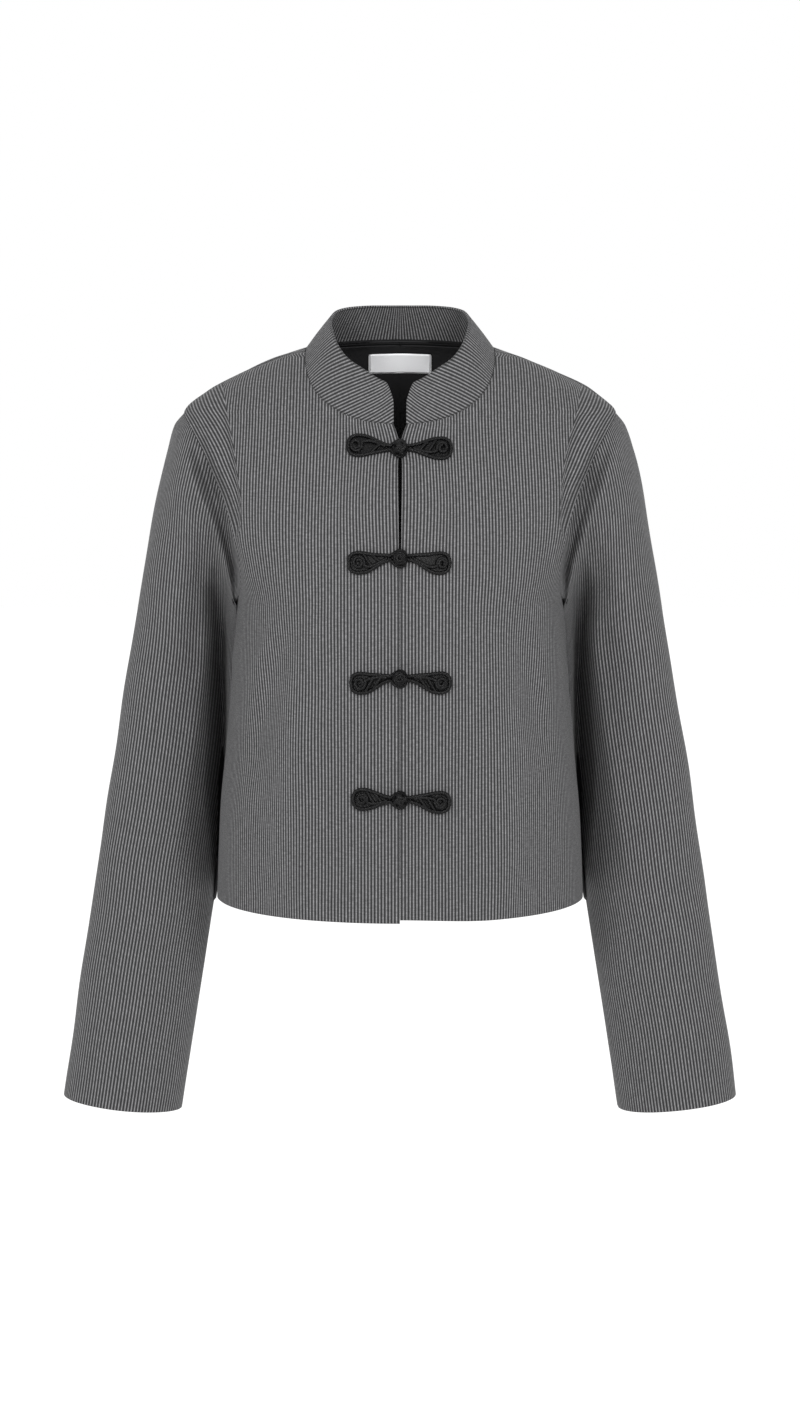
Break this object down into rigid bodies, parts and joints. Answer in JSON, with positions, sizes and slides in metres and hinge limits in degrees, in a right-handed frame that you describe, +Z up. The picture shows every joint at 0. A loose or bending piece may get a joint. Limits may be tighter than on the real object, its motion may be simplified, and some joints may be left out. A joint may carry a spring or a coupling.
{
  "type": "mandarin collar jacket",
  "caption": "Cropped long-sleeved jacket with a stand collar and knotted frog fastenings down the front, filled out as if worn.",
  "frame": {"origin": "midway between the two points where the shoulder seams meet the collar, where the wearer's shoulders carry the jacket", "axes": "+Z up; +X to the left hand side of the wearer; -Y the front, so the fastenings face -Y"},
  "size_m": [0.6144, 0.2513, 0.7307],
  "materials": {
    "striped_cloth": "matte woven suiting, fine grey stripes",
    "lining": "smooth black lining",
    "label": "plain woven satin tape",
    "frog_satin": "black satin cord, faint sheen"
  },
  "bodies": {
    "root": {"front_right": "striped_cloth", "front_left": "striped_cloth", "back": "striped_cloth", "sleeve_right": "striped_cloth", "sleeve_left": "striped_cloth", "collar": "striped_cloth", "back_lining": "lining", "neck_label": "label", "frog_1_right": "frog_satin", "frog_1_left": "frog_satin", "frog_2_right": "frog_satin", "frog_2_left": "frog_satin", "frog_3_right": "frog_satin", "frog_3_left": "frog_satin", "frog_4_right": "frog_satin", "frog_4_left": "frog_satin"}
  },
  "joints": []
}
